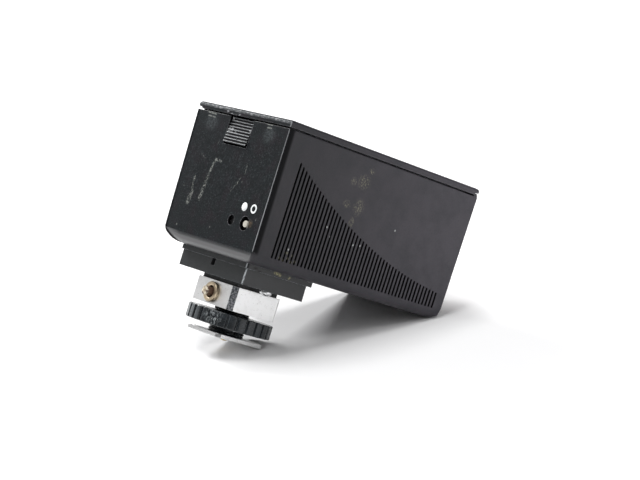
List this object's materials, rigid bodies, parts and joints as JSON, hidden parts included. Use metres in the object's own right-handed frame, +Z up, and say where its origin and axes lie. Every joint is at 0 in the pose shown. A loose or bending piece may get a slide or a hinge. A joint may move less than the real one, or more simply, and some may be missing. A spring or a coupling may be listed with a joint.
{
  "type": "infrared flash trigger",
  "caption": "Box-shaped infrared flash trigger with a hinged battery lid, grooved sides, rear switch and test button, on a camera-shoe foot with a locking ring and sync socket.",
  "frame": {"origin": "centre of the shoe foot's bottom face", "axes": "+Z up from the foot to the lid, +Y forward to the infrared window, +X to the right seen from behind"},
  "size_m": [0.0512, 0.0882, 0.0748],
  "materials": {
    "case_plastic": "satin textured moulding",
    "mount_plastic": "matte moulding",
    "ring_plastic": "semi-gloss, worn teeth",
    "bare_metal": "satin, lightly scratched",
    "steel": "plain",
    "brass": "tarnished",
    "core_plastic": "brown insulating plastic",
    "knob_plastic": "light grey, slightly dirty",
    "filter": "deep red infrared filter, polished",
    "glass": "clear",
    "reflector_metal": "polished",
    "board": "green laminate",
    "component_dark": "moulded and sleeved components",
    "component_tan": "wound and coated components",
    "cell_jacket": "printed metal jacket without lettering",
    "wire": "insulated wire"
  },
  "bodies": {
    "case": {"case_tub": "case_plastic", "hinge_pin": "steel", "infrared_window": "filter", "reflector": "reflector_metal", "flash_tube": "glass", "tube_caps": "steel", "main_board": "board", "board_screws": "steel", "main_capacitor": "component_dark", "converter_transformer": "component_dark", "trigger_coil": "component_tan", "power_transistor": "component_dark", "resistors": "component_tan", "battery_tray": "mount_plastic", "cells": "cell_jacket", "cell_springs": "steel", "cell_plates": "steel", "rear_board": "board", "rear_board_screws": "steel", "power_switch": "steel", "test_switch": "component_dark", "mount_plate": "mount_plastic", "plate_screws": "steel", "mount_block": "mount_plastic", "block_screws": "steel", "block_insulator": "mount_plastic", "foot_block": "bare_metal", "foot_screws": "steel", "foot_post": "ring_plastic", "foot_plate": "bare_metal", "contact_bush": "mount_plastic", "contact_spring": "steel", "spring_cap": "brass", "socket_sleeve": "brass", "socket_insulator": "core_plastic", "socket_pin": "brass", "sync_wires": "wire"},
    "lid": {"top_lid": "case_plastic", "catch_pin": "steel", "catch_spring": "steel"},
    "catch": {"lid_catch": "case_plastic"},
    "switch": {"switch_knob": "knob_plastic"},
    "button": {"test_button": "mount_plastic"},
    "washer": {"clamp_washer": "steel"},
    "ring": {"locking_ring": "ring_plastic"},
    "contact": {"contact_pin": "brass"}
  },
  "joints": [
    {"name": "lid_hinge", "type": "hinge", "parent": "case", "child": "lid", "pos_m": [0, 0.0673, 0.0713], "axis": [-1, 0, 0], "range_deg": [0, 85]},
    {"name": "catch_press", "type": "hinge", "parent": "lid", "child": "catch", "pos_m": [0, -0.0156, 0.0693], "axis": [1, 0, 0], "range_deg": [0, 6], "stiffness_Nm_per_rad": 0.05, "deforming": ["catch_spring"]},
    {"name": "switch_slide", "type": "slide", "parent": "case", "child": "switch", "axis": [1, 0, 0], "range_m": [-0.0018, 0]},
    {"name": "button_press", "type": "slide", "parent": "case", "child": "button", "axis": [0, 1, 0], "range_m": [0, 0.0005], "stiffness_N_per_m": 400},
    {"name": "ring_travel", "type": "slide", "parent": "case", "child": "washer", "axis": [0, 0, 1], "range_m": [-0.0016, 0.0012]},
    {"name": "ring_turn", "type": "hinge", "parent": "washer", "child": "ring", "pos_m": [0, 0, 0.006], "axis": [0, 0, 1], "range_deg": [-574, 430]},
    {"name": "contact_press", "type": "slide", "parent": "case", "child": "contact", "axis": [0, 0, 1], "range_m": [0, 0.0008], "stiffness_N_per_m": 500, "deforming": ["contact_spring"]}
  ],
  "couplings": [
    {"joint": "ring_travel", "follows": "ring_turn", "m_per_rad": 0.00015915}
  ]
}
